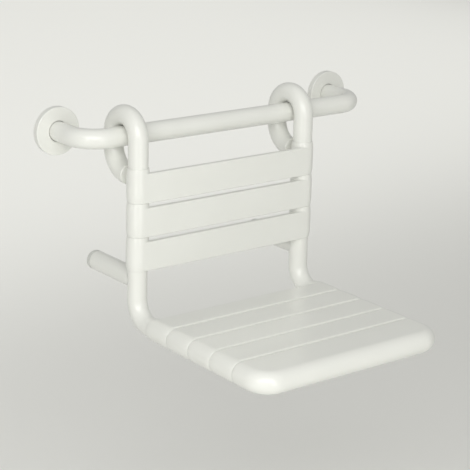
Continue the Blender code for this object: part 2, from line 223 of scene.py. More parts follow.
@dataclass(frozen=True)
class MouldedPolyamide:
    """Smooth white polyamide with a soft gloss, straight from a polished mould."""

    light: Colour = (0.815, 0.82, 0.782)
    dark: Colour = (0.80, 0.805, 0.766)
    roughness: Size = (0.30, 0.34)

    def build(self) -> Material:
        """Make the material: faint cloudiness, even gloss under a clear skin, and fine orange peel.

        Returns:
            The material.
        """
        shader = Shader("white_polyamide")
        cloud = shader.noise(14.0, 1.0)
        gloss = shader.noise(260.0, 3.0)
        peel = shader.noise(480.0, 1.0)
        wiping = shader.noise(190.0, 4.0, (5.0, 0.5, 1.0))
        soft = shader.bump(peel, 0.00002, 0.10)
        shader.set(shader.surface, {
            "Base Color": shader.tint(shader.spread(cloud, 0.0, 1.0), self.dark, self.light),
            "Roughness": shader.spread(gloss, *self.roughness),
            "Normal": shader.bump(wiping, 0.00001, 0.04, soft),
            "IOR": 1.53,
            "Coat Weight": 0.45,
            "Coat Roughness": 0.07,
        })
        return shader.material


@dataclass(frozen=True)
class ZincSteel:
    """Zinc-plated steel: dull, with cloudy crystals and drawn lines."""

    light: Colour = (0.60, 0.61, 0.62)
    dark: Colour = (0.43, 0.44, 0.46)

    def build(self) -> Material:
        """Make the material: crystal patches, fine grain and an uneven sheen.

        Returns:
            The material.
        """
        shader = Shader("zinc_steel")
        crystals = shader.add("ShaderNodeTexVoronoi", {"Vector": shader.place, "Scale": 210.0})
        patch = shader.add("ShaderNodeSeparateColor", {"Color": crystals.outputs["Color"]}).outputs["Red"]
        grain = shader.noise(900.0, 3.0, (1.0, 1.0, 0.15))
        shader.set(shader.surface, {
            "Base Color": shader.tint(patch, self.dark, self.light),
            "Metallic": 1.0,
            "Roughness": shader.spread(shader.noise(60.0, 4.0), 0.34, 0.52),
            "Normal": shader.bump(grain, 0.00003, 0.25),
        })
        return shader.material


@dataclass(frozen=True)
class StainlessSteel:
    """Stainless steel as turned and rolled for screws."""

    colour: Colour = (0.62, 0.62, 0.61)
    shade: float = 0.82

    def build(self) -> Material:
        """Make the material: fine turning lines and small changes of sheen.

        Returns:
            The material.
        """
        shader = Shader("stainless_steel")
        lines = shader.noise(2600.0, 2.0, (0.2, 1.0, 0.2))
        darker = tuple(self.shade * channel for channel in self.colour)
        shader.set(shader.surface, {
            "Base Color": shader.tint(shader.noise(300.0, 3.0), darker, self.colour),
            "Metallic": 1.0,
            "Roughness": shader.spread(lines, 0.22, 0.36),
            "Normal": shader.bump(lines, 0.00001, 0.3),
        })
        return shader.material


@dataclass(frozen=True)
class BufferRubber:
    """Light grey elastomer, matt, with a spark-eroded grain."""

    light: Colour = (0.64, 0.65, 0.62)
    dark: Colour = (0.55, 0.56, 0.53)

    def build(self) -> Material:
        """Make the material: speckled grain under a dusty sheen.

        Returns:
            The material.
        """
        shader = Shader("buffer_rubber")
        grain = shader.noise(1400.0, 4.0)
        speckle = shader.spread(shader.noise(140.0, 5.0), 0.0, 1.0)
        shader.set(shader.surface, {
            "Base Color": shader.tint(speckle, self.dark, self.light),
            "Roughness": shader.spread(grain, 0.62, 0.78),
            "Normal": shader.bump(grain, 0.00008, 0.35),
            "Sheen Weight": 0.15,
        })
        return shader.material


@dataclass(frozen=True)
class Finishes:
    """One material for each slot of the record."""

    polyamide: Material
    steel: Material
    screw_steel: Material
    rubber: Material

    @classmethod
    def build(cls) -> Finishes:
        """Make the four materials."""
        return cls(MouldedPolyamide().build(), ZincSteel().build(), StainlessSteel().build(),
                   BufferRubber().build())

    def of(self, slot: Slot) -> Material:
        """The material of a slot."""
        return getattr(self, slot.value)


# ---------------------------------------------------------------- mesh tools


def evaluated(carrier: Object) -> Mesh:
    """Turn an object with modifiers into a plain mesh and remove the object.

    Args:
        carrier: An object at the origin.

    Returns:
        Its evaluated mesh.
    """
    bpy.context.view_layer.update()
    graph = bpy.context.evaluated_depsgraph_get()
    mesh = bpy.data.meshes.new_from_object(carrier.evaluated_get(graph))
    bpy.data.objects.remove(carrier)
    return mesh


def carrier_of(mesh: Mesh) -> Object:
    """Link an object that carries a mesh while modifiers work on it.

    Args:
        mesh: The mesh.

    Returns:
        The object.
    """
    carrier = bpy.data.objects.new("carrier", mesh)
    bpy.context.scene.collection.objects.link(carrier)
    return carrier


def combined(mesh: Mesh, joined: list[Mesh], cut: list[Mesh]) -> Mesh:
    """Join solids to a solid, then cut others away.

    Args:
        mesh: The first solid.
        joined: Solids to unite with it.
        cut: Solids to take away from the whole.

    Returns:
        The result.
    """
    carrier = carrier_of(mesh)
    tools = []
    for operation, tool_mesh in [(UNION, m) for m in joined] + [(DIFFERENCE, m) for m in cut]:
        tool = carrier_of(tool_mesh)
        modifier = carrier.modifiers.new(operation.lower(), "BOOLEAN")
        modifier.operation = operation
        modifier.solver = "EXACT"
        modifier.object = tool
        tools.append(tool)
    result = evaluated(carrier)
    for tool in tools:
        bpy.data.objects.remove(tool)
    return result


def turned(profile: Profile, sides: int, place: Matrix | None = None,
           closed: bool = False) -> Mesh:
    """Turn a profile of (radius, height) pairs about Z.

    Args:
        profile: The outline; it runs from pole to pole, or all round if closed.
        sides: The number of flats in a turn.
        place: Where the shape goes.
        closed: Whether the last pair joins the first, as on a ring.

    Returns:
        A closed mesh with its faces outwards.
    """
    body = bmesh.new()
    rings = []
    for radius, height in profile:
        if radius < EPSILON:
            rings.append([body.verts.new((0.0, 0.0, height))] * sides)
            continue
        turns = [2 * math.pi * index / sides for index in range(sides)]
        rings.append([body.verts.new((radius * math.cos(t), radius * math.sin(t), height)) for t in turns])
    pairs = list(zip(rings, rings[1:] + rings[:1])) if closed else list(zip(rings, rings[1:]))
    for upper, lower in pairs:
        for index in range(sides):
            after = (index + 1) % sides
            corners = [upper[index], upper[after], lower[after], lower[index]]
            distinct = [corner for place_, corner in enumerate(corners) if corner not in corners[:place_]]
            if len(distinct) > 2:
                body.faces.new(distinct)
    bmesh.ops.recalc_face_normals(body, faces=body.faces)
    mesh = bpy.data.meshes.new("turned")
    body.to_mesh(mesh)
    body.free()
    if place is not None:
        mesh.transform(place)
    return mesh


def rod(radius: float, start: Point, end: Point, sides: int) -> Mesh:
    """Make a plain round bar, for cutting holes.

    Args:
        radius: Its radius.
        start: Where its axis starts.
        end: Where its axis ends.
        sides: The number of flats round it.

    Returns:
        The bar.
    """
    run = Vector(end) - Vector(start)
    place = Matrix.Translation(start) @ run.to_track_quat("Z", "Y").to_matrix().to_4x4()
    return turned([(0.0, run.length), (radius, run.length), (radius, 0.0), (0.0, 0.0)], sides, place)


def corner_round(radius: float, height: float, round_: float, start: float, end: float,
                 steps: int) -> Profile:
    """Points of a rounded corner in a profile.

    Args:
        radius: The outline's radius at the corner's centre.
        height: The outline's height at the corner's centre.
        round_: The corner's radius.
        start: The angle where the corner starts, in degrees.
        end: The angle where it ends.
        steps: The number of flats.

    Returns:
        Its (radius, height) pairs.
    """
    turns = [math.radians(start + (end - start) * step / steps) for step in range(steps + 1)]
    return [(radius + round_ * math.cos(turn), height + round_ * math.sin(turn)) for turn in turns]


def finished(name: str, mesh: Mesh, material: Material) -> Object:
    """Weld, smooth and dress a mesh and link it as a piece at the origin.

    Args:
        name: The piece's name.
        mesh: Its mesh, in place.
        material: Its finish.

    Returns:
        The piece.
    """
    body = bmesh.new()
    body.from_mesh(mesh)
    bmesh.ops.remove_doubles(body, verts=body.verts, dist=EPSILON)
    body.to_mesh(mesh)
    body.free()
    mesh.shade_smooth()
    mesh.set_sharp_from_angle(angle=SHARP_ANGLE)
    carrier = carrier_of(mesh)
    weighted = carrier.modifiers.new("even_shading", "WEIGHTED_NORMAL")
    weighted.keep_sharp = True
    weighted.weight = 80
    result = evaluated(carrier)
    result.name = name
    result.materials.clear()
    result.materials.append(material)
    piece = bpy.data.objects.new(name, result)
    bpy.context.scene.collection.objects.link(piece)
    return piece


class GeometryTree(NodeTree):
    """A Geometry Nodes tree in the making, with named inputs."""

    def __init__(self, name: str) -> None:
        """Start a tree with a geometry and a material going in.

        Args:
            name: The tree's name.
        """
        super().__init__(bpy.data.node_groups.new(name, "GeometryNodeTree"))
        self.tree.interface.new_socket("Geometry", in_out="OUTPUT", socket_type="NodeSocketGeometry")
        self.start = self.tree.nodes.new("NodeGroupInput")
        self.end = self.tree.nodes.new("NodeGroupOutput")
        self.geometry = self.input("Geometry", "NodeSocketGeometry")
        self.material = self.input("Material", "NodeSocketMaterial")

    def input(self, name: str, kind: str = "NodeSocketFloat") -> Socket:
        """Add a named input.

        Args:
            name: Its name.
            kind: Its socket's type.

        Returns:
            The socket that it comes in by.
        """
        self.tree.interface.new_socket(name, in_out="INPUT", socket_type=kind)
        return self.start.outputs[name]

    def math(self, operation: str, first: object, second: object) -> Socket:
        """A sum, difference, product or quotient of two sockets or numbers."""
        return self.add("ShaderNodeMath", {0: first, 1: second}, operation=operation).outputs[0]

    def vector(self, x: object = 0.0, y: object = 0.0, z: object = 0.0) -> Socket:
        """A vector of three sockets or numbers."""
        return self.add("ShaderNodeCombineXYZ", {"X": x, "Y": y, "Z": z}).outputs[0]

    def close(self, geometry: Socket) -> None:
        """End the tree: make instances real and set the material.

        Args:
            geometry: The socket that gives the shape.
        """
        real = self.add("GeometryNodeRealizeInstances", {"Geometry": geometry})
        dressed = self.add("GeometryNodeSetMaterial", {
            "Geometry": real.outputs[0], "Material": self.material})
        self.tree.links.new(dressed.outputs[0], self.end.inputs[0])

    def run(self, mesh: Mesh, values: dict[str, object], wall: float = 0.0) -> Mesh:
        """Run the tree on a mesh.

        Args:
            mesh: The geometry that goes in.
            values: A value for each named input.
            wall: A wall thickness to give the result, inwards.

        Returns:
            The result as a plain mesh.
        """
        carrier = carrier_of(mesh)
        modifier = carrier.modifiers.new(self.tree.name, "NODES")
        modifier.node_group = self.tree
        items = self.tree.interface.items_tree
        identifiers = {item.name: item.identifier for item in items if item.in_out == "INPUT"}
        for name, value in values.items():
            modifier[identifiers[name]] = value
        if wall > 0:
            solid = carrier.modifiers.new("wall", "SOLIDIFY")
            solid.thickness = wall
            solid.offset = -1.0
        return evaluated(carrier)


# ---------------------------------------------------------------- places


@dataclass(frozen=True)
class Tube:
    """The one tube that the rail and the seat's frame are made of."""

    radius: float = 0.0165
    bore: float = 0.0134
    core_radius: float = 0.0130
    core_bore: float = 0.0110
    gap: float = 0.0003
    sides: int = 64
    core_sides: int = 40
    bend_steps: int = 22


@dataclass(frozen=True)
class Places:
    """Where things are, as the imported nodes' boxes give them."""

    rail_y: float
    rail_half: float
    rail_end_y: float
    uprights: dict[Side, float]
    centre_x: float
    hook_back_y: float
    hook_top_z: float
    hook_end_y: float
    tail_z: float
    upright_y: float
    side_z: float
    side_tube_end_y: float
    front_y: float
    strut_z: float

    @classmethod
    def read(cls, tube: Tube, hook_bend: float, nose_radius: float) -> Places:
        """Work the places out from the frame.

        Args:
            tube: The tube.
            hook_bend: The bend radius of the hooks.
            nose_radius: The radius of the seat's front edge.

        Returns:
            The places.
        """
        rail_low, rail_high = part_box("rail_tube")
        left_low, left_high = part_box("side_tube_left")
        right_low, right_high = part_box("side_tube_right")
        cap_low, cap_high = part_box("hook_cap_left")
        buffer_low, buffer_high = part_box("strut_buffer_left")
        left = (left_low.x + left_high.x) / 2
        right = (right_low.x + right_high.x) / 2
        hook_back_y = left_high.y - tube.radius
        return cls(
            rail_y=rail_low.y + tube.radius,
            rail_half=(rail_high.x - rail_low.x) / 2 - tube.radius,
            rail_end_y=rail_high.y,
            uprights={Side.LEFT: left, Side.RIGHT: right},
            centre_x=(left + right) / 2,
            hook_back_y=hook_back_y,
            hook_top_z=left_high.z - tube.radius,
            hook_end_y=cap_low.y,
            tail_z=(cap_low.z + cap_high.z) / 2,
            upright_y=hook_back_y - 2 * hook_bend,
            side_z=left_low.z + tube.radius,
            side_tube_end_y=left_low.y,
            front_y=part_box("seat_front")[0].y + nose_radius,
            strut_z=(buffer_low.z + buffer_high.z) / 2,
        )


# ---------------------------------------------------------------- tubes


class BentTubes:
    """Tubes that follow a line of corners, each with its own bend radius."""

    def __init__(self, tube: Tube) -> None:
        """Build the tree that bends and sweeps a tube.

        Args:
            tube: The tube whose bends are made.
        """
        self.tube = tube
        self.tree = GeometryTree("bent_tube")
        radius = self.tree.input("Radius")
        sides = self.tree.input("Sides", "NodeSocketInt")
        steps = self.tree.input("Bend Steps", "NodeSocketInt")
        caps = self.tree.input("Closed Ends", "NodeSocketBool")
        add = self.tree.add
        line = add("GeometryNodeMeshToCurve", {"Mesh": self.tree.geometry})
        bend = add("GeometryNodeInputNamedAttribute", {"Name": "bend"}, data_type="FLOAT")
        bent = add("GeometryNodeFilletCurve", {"Curve": line.outputs[0], "Count": steps,
                                               "Radius": bend.outputs["Attribute"]}, mode="POLY")
        wire = add("GeometryNodeCurveToMesh", {"Curve": bent.outputs[0]})
        welded = add("GeometryNodeMergeByDistance", {"Geometry": wire.outputs[0], "Distance": 0.0002})
        path = add("GeometryNodeMeshToCurve", {"Mesh": welded.outputs[0]})
        ring = add("GeometryNodeCurvePrimitiveCircle", {"Resolution": sides, "Radius": radius})
        skin = add("GeometryNodeCurveToMesh", {"Curve": path.outputs[0], "Profile Curve": ring.outputs[0],
                                               "Fill Caps": caps})
        self.tree.close(skin.outputs[0])

    @staticmethod
    def corner_line(corners: list[Point], bends: list[float]) -> Mesh:
        """A line of edges through the corners that carries the bend radii.

        Args:
            corners: The corners, ends included.
            bends: The bend radius at each inner corner.

        Returns:
            The line as a mesh.
        """
        mesh = bpy.data.meshes.new("corners")
        mesh.from_pydata(corners, [(index, index + 1) for index in range(len(corners) - 1)], [])
        attribute = mesh.attributes.new("bend", "FLOAT", "POINT")
        for item, bend in zip(attribute.data, [0.0, *bends, 0.0]):
            item.value = bend
        return mesh

    def sweep(self, corners: list[Point], bends: list[float], radius: float, bore: float,
              material: Material, sides: int) -> Mesh:
        """Sweep a tube, or a solid bar where the bore is nothing.

        Args:
            corners: The corners, ends included.
            bends: The bend radius at each inner corner.
            radius: The outer radius.
            bore: The inner radius.
            material: The finish.
            sides: The number of flats round it.

        Returns:
            The closed mesh.
        """
        values = {"Material": material, "Radius": radius, "Sides": sides, "Bend Steps": self.tube.bend_steps,
                  "Closed Ends": bore <= 0}
        return self.tree.run(self.corner_line(corners, bends), values, radius - bore if bore > 0 else 0.0)


@dataclass
class SubAssembly:
    """Pieces of one body, with what they are made from."""

    places: Places
    tube: Tube
    tubes: BentTubes
    finishes: Finishes
    body: Body = Body.SEAT

    def hand_over(self, name: str, mesh: Mesh, slot: Slot, *nodes: str) -> None:
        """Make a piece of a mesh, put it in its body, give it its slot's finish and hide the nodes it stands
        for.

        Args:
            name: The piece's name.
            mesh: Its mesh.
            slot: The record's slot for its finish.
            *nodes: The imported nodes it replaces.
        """
        piece = finished(name, mesh, self.finishes.of(slot))
        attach(piece, self.body.value)
        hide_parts(*nodes)
        LOG.info("%s: %d faces, for %s", name, len(piece.data.polygons), ", ".join(nodes))

    def sides_x(self) -> tuple[float, float]:
        """Where the left and the right side tube stand."""
        return self.places.uprights[Side.LEFT], self.places.uprights[Side.RIGHT]

    def sweep_skin(self, corners: list[Point], bends: list[float]) -> Mesh:
        """Sweep the polyamide tube along corners with these bend radii."""
        return self.tubes.sweep(corners, bends, self.tube.radius, self.tube.bore,
                                self.finishes.polyamide, self.tube.sides)

    def sweep_core(self, corners: list[Point], bends: list[float]) -> Mesh:
        """Sweep the steel core along corners with these bend radii."""
        return self.tubes.sweep(corners, bends, self.tube.core_radius, self.tube.core_bore,
                                self.finishes.steel, self.tube.core_sides)


# ---------------------------------------------------------------- rail


@dataclass
class GrabRail(SubAssembly):
    """The rail's tube, its core and what fixes each end to the wall."""

    body: Body = Body.RAIL
    bend: float = 0.042
    plate_radius: float = 0.033
    plate_thickness: float = 0.005
    plate_chamfer: float = 0.0006
    spigot_length: float = 0.012
    cover_radius: float = 0.040
    cover_depth: float = 0.011
    cover_wall: float = 0.0025
    cover_round: float = 0.0015
    cover_hole_play: float = 0.0008
    screw_circle: float = 0.024
    screw_count: int = 3
    screw_radius: float = 0.0024
    screw_core: float = 0.0018
    screw_head: float = 0.0046
    screw_length: float = 0.024
    screw_play: float = 0.0004
    thread_pitch: float = 0.0018
    sides: int = 96
    hole_overrun: float = 0.001
    hole_depth: float = 0.010
    hole_turn: float = math.radians(3)
    cover_hole_round: float = 0.0008
    cover_back_round: float = 0.0006
    cover_inner_chamfer: float = 0.0015
    head_edge: float = 0.0003
    head_depth: float = 0.0025
    shank_end: float = 0.0065
    core_start: float = 0.0072
    tip_length: float = 0.004
    tip_radius: float = 0.0002
    drive_radius: float = 0.0021
    drive_depth: float = 0.0044
    thread_start: float = 0.007
    thread_allowance: float = 0.012
    screw_sides: int = 32
    thread_resolution: int = 20

    def build(self) -> None:
        """Make the rail and both of its ends."""
        self.build_tube()
        screws = self.screw_tree()
        for side in Side:
            self.build_plate(side)
            self.build_cover(side)
            self.build_screws(side, screws)

    def end_x(self, side: Side) -> float:
        """Where an end of the rail meets the wall."""
        return -self.places.rail_half if side is Side.LEFT else self.places.rail_half

    def facing_room(self, x: float) -> Matrix:
        """The place of a shape turned about the rail's end, its height towards the room."""
        return Matrix.Translation((x, 0.0, 0.0)) @ TO_ROOM

    def build_tube(self) -> None:
        """The polyamide tube and the steel core inside it."""
        left, right, y = -self.places.rail_half, self.places.rail_half, self.places.rail_y
        end = self.places.rail_end_y
        corners = [(left, end, 0.0), (left, y, 0.0), (right, y, 0.0), (right, end, 0.0)]
        bends = [self.bend, self.bend]
        self.hand_over("rail_tube_skin", self.sweep_skin(corners, bends), Slot.POLYAMIDE, "rail_tube")
        self.hand_over("rail_core_tube", self.sweep_core(corners, bends), Slot.STEEL, "rail_core")

    def screw_places(self) -> list[tuple[float, float]]:
        """The screws' places round the rail's end, the first at the top."""
        turns = [math.radians(90 + 360 * index / self.screw_count) for index in range(self.screw_count)]
        return [(self.screw_circle * math.cos(turn), self.screw_circle * math.sin(turn)) for turn in turns]

    def build_plate(self, side: Side) -> None:
        """A steel wall plate: disc, spigot for the core, and countersunk holes.

        Args:
            side: The end of the rail.
        """
        x = self.end_x(side)
        chamfer, top = self.plate_chamfer, self.plate_thickness + self.spigot_length
        spigot = self.tube.core_bore - 2 * self.tube.gap
        profile = [(0.0, top), (spigot - 2 * chamfer, top), (spigot, top - 2 * chamfer),
                   (spigot, self.plate_thickness), (self.plate_radius - chamfer, self.plate_thickness),
                   (self.plate_radius, self.plate_thickness - chamfer), (self.plate_radius, chamfer),
                   (self.plate_radius - chamfer, 0.0), (0.0, 0.0)]
        plate = turned(profile, self.sides, self.facing_room(x))
        radius, head = self.screw_radius + self.screw_play, self.screw_head + self.screw_play
        over, deep = self.hole_overrun, -self.hole_depth
        sink = [(0.0, over), (head, over), (head, 0.0), (radius, radius - head), (radius, deep), (0.0, deep)]
        holes = []
        for dx, dz in self.screw_places():
            place = Matrix.Translation((dx, -self.plate_thickness, dz)) @ self.facing_room(x)
            holes.append(turned(sink, HOLE_SIDES, place @ Matrix.Rotation(self.hole_turn, 4, "Z")))
        self.hand_over(f"wall_plate_disc_{side.value}", combined(plate, [], holes), Slot.STEEL,
                       f"wall_plate_{side.value}")

    def build_cover(self, side: Side) -> None:
        """A snap-on cover: a shallow cup with a rounded rim and a hole for the tube.

        Args:
            side: The end of the rail.
        """
        hole = self.tube.radius + self.cover_hole_play
        depth, radius = self.cover_depth, self.cover_radius
        inside, floor, chamfer = radius - self.cover_wall, depth - self.cover_wall, self.cover_inner_chamfer
        lip, rim, back = self.cover_hole_round, self.cover_round, self.cover_back_round
        profile = corner_round(hole + lip, depth - lip, lip, 180, 90, 4)
        profile += corner_round(radius - rim, depth - rim, rim, 90, 0, 8)
        profile += corner_round(radius - back, back, back, 0, -90, 3)
        profile += [(inside, 0.0), (inside, floor - chamfer), (inside - chamfer, floor), (hole, floor)]
        mesh = turned(profile, self.sides, self.facing_room(self.end_x(side)), closed=True)
        self.hand_over(f"rail_cover_cup_{side.value}", mesh, Slot.POLYAMIDE, f"rail_cover_{side.value}")

    def screw_tree(self) -> GeometryTree:
        """Make a tree that threads a blank, sinks its drive and sets it round a circle.

        Returns:
            The tree.
        """
        tree = GeometryTree("wall_screws")
        core = tree.input("Core Radius")
        crest = tree.input("Thread Radius")
        thread = tree.input("Thread Length")
        pitch = tree.input("Pitch")
        drive = tree.input("Drive Radius")
        circle = tree.input("Circle Radius")
        count = tree.input("Count", "NodeSocketInt")
        turns = tree.math("DIVIDE", thread, pitch)
        helix = tree.add("GeometryNodeCurveSpiral", {
            "Resolution": self.thread_resolution, "Rotations": turns, "Height": thread,
            "Start Radius": core, "End Radius": core})
        depth = tree.math("SUBTRACT", crest, core)
        ridge = tree.add("GeometryNodeCurvePrimitiveCircle", {"Resolution": 4, "Radius": depth})
        flank = tree.add("GeometryNodeCurveToMesh", {
            "Curve": helix.outputs[0], "Profile Curve": ridge.outputs[0], "Fill Caps": True})
        down = tree.math("MULTIPLY", thread, -1.0)
        start = tree.math("SUBTRACT", down, self.thread_start)
        sunk = tree.add("GeometryNodeTransform", {
            "Geometry": flank.outputs[0], "Translation": tree.vector(z=start)})
        key = tree.add("GeometryNodeMeshCylinder", {
            "Vertices": 6, "Radius": drive, "Depth": self.drive_depth})
        head = tree.add("GeometryNodeMeshBoolean", {0: tree.geometry, 1: key.outputs["Mesh"]},
                        operation=DIFFERENCE, solver="EXACT")
        screw = tree.add("GeometryNodeJoinGeometry", {0: head.outputs[0]})
        tree.tree.links.new(sunk.outputs[0], screw.inputs[0])
        points = tree.add("GeometryNodeMeshCircle", {"Vertices": count, "Radius": circle})
        placed = tree.add("GeometryNodeInstanceOnPoints", {
            "Points": points.outputs[0], "Instance": screw.outputs[0]})
        tree.close(placed.outputs[0])
        return tree

    def build_screws(self, side: Side, tree: GeometryTree) -> None:
        """The screws of one wall plate.

        Args:
            side: The end of the rail.
            tree: The screw tree.
        """
        head, radius, core, tip = self.screw_head, self.screw_radius, self.screw_core, -self.screw_length
        blank = turned([(0.0, 0.0), (head - self.head_edge, 0.0), (head, -self.head_edge),
                        (radius, -self.head_depth), (radius, -self.shank_end), (core, -self.core_start),
                        (core, tip + self.tip_length), (self.tip_radius, tip), (0.0, tip)], self.screw_sides)
        mesh = tree.run(blank, {
            "Material": self.finishes.screw_steel, "Core Radius": core, "Thread Radius": radius,
            "Thread Length": self.screw_length - self.thread_allowance, "Pitch": self.thread_pitch,
            "Drive Radius": self.drive_radius, "Circle Radius": self.screw_circle, "Count": self.screw_count,
        })
        mesh.transform(Matrix.Rotation(math.radians(90), 4, "Z"))
        sunk = Matrix.Translation((0.0, -self.plate_thickness, 0.0))
        mesh.transform(sunk @ self.facing_room(self.end_x(side)))
        nodes = [f"wall_screw_{side.value}_{index + 1}" for index in range(self.screw_count)]
        self.hand_over(f"wall_screws_{side.value}", mesh, Slot.SCREW_STEEL, *nodes)


# ---------------------------------------------------------------- seat frame


@dataclass
class SeatFrame(SubAssembly):
    """The two side tubes with their hooks, the core inside them and the hooks' end plugs."""

    hook_bend: float = 0.0355
    tail_bend: float = 0.0420
    lower_bend: float = 0.0385
    front_bend: float = 0.0255
    plug_thickness: float = 0.0030
    plug_spigot: float = 0.0045
    plug_dome: float = 0.0005
    plug_round: float = 0.0018
    plug_chamfer: float = 0.0006
    dome_steps: int = 6
    stud_hole: float = 0.0064
    stud_hole_reach: Size = (0.011, 0.019)

    def build(self) -> None:
        """Make both side tubes, the core and the plugs."""
        for side in Side:
            self.build_side_tube(side)
            self.build_plug(side)
        self.build_core()

    def hook_corners(self, x: float) -> list[Point]:
        """List a side tube's corners from its hook's end down to its lower bend.

        Args:
            x: Where the tube stands.

        Returns:
            The corners.
        """
        p = self.places
        start_y = p.hook_end_y + self.plug_thickness + self.tube.gap
        return [(x, start_y, p.tail_z), (x, p.hook_back_y, p.tail_z), (x, p.hook_back_y, p.hook_top_z),
                (x, p.upright_y, p.hook_top_z), (x, p.upright_y, p.side_z)]

    def hook_bends(self) -> list[float]:
        """Bend radii at those corners."""
        return [self.tail_bend, self.hook_bend, self.hook_bend, self.lower_bend]

    def build_side_tube(self, side: Side) -> None:
        """One side tube, with a hole for the strut's stud in its back.

        Args:
            side: The side of the seat.
        """
        x, p = self.places.uprights[side], self.places
        corners = [*self.hook_corners(x), (x, p.side_tube_end_y, p.side_z)]
        start, end = ((x, p.upright_y + reach, p.strut_z) for reach in self.stud_hole_reach)
        hole = rod(self.stud_hole, start, end, HOLE_SIDES)
        mesh = combined(self.sweep_skin(corners, self.hook_bends()), [], [hole])
        self.hand_over(f"side_tube_skin_{side.value}", mesh, Slot.POLYAMIDE, f"side_tube_{side.value}")

    def build_plug(self, side: Side) -> None:
        """The plug in a hook's end: a slightly domed button on a spigot.

        Args:
            side: The side of the seat.
        """
        radius, round_, dome, chamfer = self.tube.radius, self.plug_round, self.plug_dome, self.plug_chamfer
        spigot, thick = self.tube.core_bore - 2 * self.tube.gap, self.plug_thickness
        reach, end = radius - round_, thick + self.plug_spigot
        parts = [step / self.dome_steps for step in range(self.dome_steps)]
        profile = [(reach * part, dome * part ** 2) for part in parts]
        profile += corner_round(reach, dome + round_, round_, -90, 0, 6)
        profile += [(radius, thick), (spigot, thick), (spigot, end - chamfer), (spigot - chamfer, end),
                    (0.0, end)]
        place = Matrix.Translation((self.places.uprights[side], self.places.hook_end_y, self.places.tail_z))
        mesh = turned(profile, self.tube.sides, place @ TO_WALL)
        self.hand_over(f"hook_plug_{side.value}", mesh, Slot.POLYAMIDE, f"hook_cap_{side.value}")

    def build_core(self) -> None:
        """The one steel tube that runs from hook to hook through the seat's front."""
        left, right = self.sides_x()
        front = [(x, self.places.front_y, self.places.side_z) for x in (left, right)]
        corners = [*self.hook_corners(left), *front, *reversed(self.hook_corners(right))]
        bends = [*self.hook_bends(), self.front_bend, self.front_bend, *reversed(self.hook_bends())]
        self.hand_over("frame_core_tube", self.sweep_core(corners, bends), Slot.STEEL, "frame_core")


# ---------------------------------------------------------------- slats


